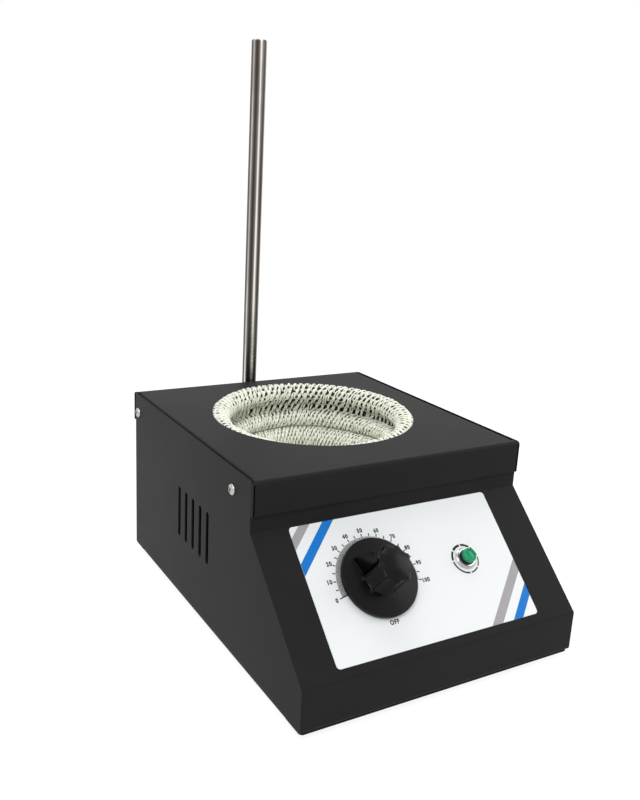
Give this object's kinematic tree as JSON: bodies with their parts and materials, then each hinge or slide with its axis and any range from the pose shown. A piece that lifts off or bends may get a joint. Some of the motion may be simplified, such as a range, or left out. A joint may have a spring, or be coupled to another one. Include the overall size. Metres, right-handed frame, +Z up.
{
  "type": "laboratory heating mantle",
  "caption": "Round-flask heating mantle: knitted glass-yarn bowl in a folded steel cabinet with a sloping panel, pointer knob, pilot lamp and upright support rod.",
  "frame": {"origin": "middle of the overall box, on the surface that the feet stand on", "axes": "+Z up, -Y towards the control panel, +X to the right when facing the panel"},
  "size_m": [0.2144, 0.3048, 0.4062],
  "materials": {
    "powder_coat": "satin black powder coat",
    "glass_yarn": "knitted glass-fibre yarn",
    "glass_sleeve": "glass-fibre sleeve over resistance wire",
    "glass_wool": "glass wool",
    "aluminium_sheet": "spun sheet",
    "zinc_steel": "zinc plated",
    "nickel": "nickel plated",
    "label_film": "printed polyester film",
    "knob_black": "moulded, semi-gloss",
    "moulding_black": "moulded",
    "brass_tab": "plain",
    "chrome_ring": "polished",
    "green_lens": "clear green moulding",
    "stainless_rod": "ground bar",
    "rubber_black": "moulded",
    "porcelain": "unglazed"
  },
  "bodies": {
    "cabinet": {"top_cover": "powder_coat", "side_panel_right": "powder_coat", "side_panel_left": "powder_coat", "front_panel": "powder_coat", "back_panel": "powder_coat", "base_plate": "powder_coat", "knitted_rim": "glass_yarn", "knitted_bowl": "glass_yarn", "heating_cord": "glass_sleeve", "insulation": "glass_wool", "bowl_housing": "aluminium_sheet", "housing_studs": "zinc_steel", "housing_nuts": "zinc_steel", "control_label": "label_film", "regulator_body": "moulding_black", "regulator_nut": "nickel", "regulator_tabs": "brass_tab", "lamp_bezel": "chrome_ring", "lamp_body": "moulding_black", "lamp_lens": "green_lens", "lamp_nut": "nickel", "lamp_tabs": "brass_tab", "rod_clamp": "powder_coat", "clamp_screws": "nickel", "clamp_nuts": "zinc_steel", "inlet_socket": "moulding_black", "inlet_pins": "nickel", "inlet_screws": "nickel", "inlet_nuts": "zinc_steel", "cover_screws": "nickel", "cover_nuts": "zinc_steel", "feet": "rubber_black", "foot_screws": "zinc_steel", "foot_nuts": "zinc_steel", "base_screws": "nickel", "terminal_block": "porcelain", "earth_stud": "brass_tab"},
    "knob_and_shaft": {"knob": "knob_black", "regulator_shaft": "zinc_steel"},
    "rod": {"support_rod": "stainless_rod"},
    "thumb_screw": {"clamp_thumb_screw": "nickel"}
  },
  "joints": [
    {"name": "knob_turn", "type": "hinge", "parent": "cabinet", "child": "knob_and_shaft", "pos_m": [-0.0316, -0.11383, 0.0703], "axis": [0, -0.6793, 0.7339], "range_deg": [-148.92, 133.08]},
    {"name": "rod_lift", "type": "slide", "parent": "cabinet", "child": "rod", "axis": [0, 0, 1], "range_m": [0, 0.05]},
    {"name": "thumb_screw_turn", "type": "hinge", "parent": "cabinet", "child": "thumb_screw", "pos_m": [0.011, 0.1414, 0.0782], "axis": [1, 0, 0], "range_deg": [0, 360]}
  ]
}
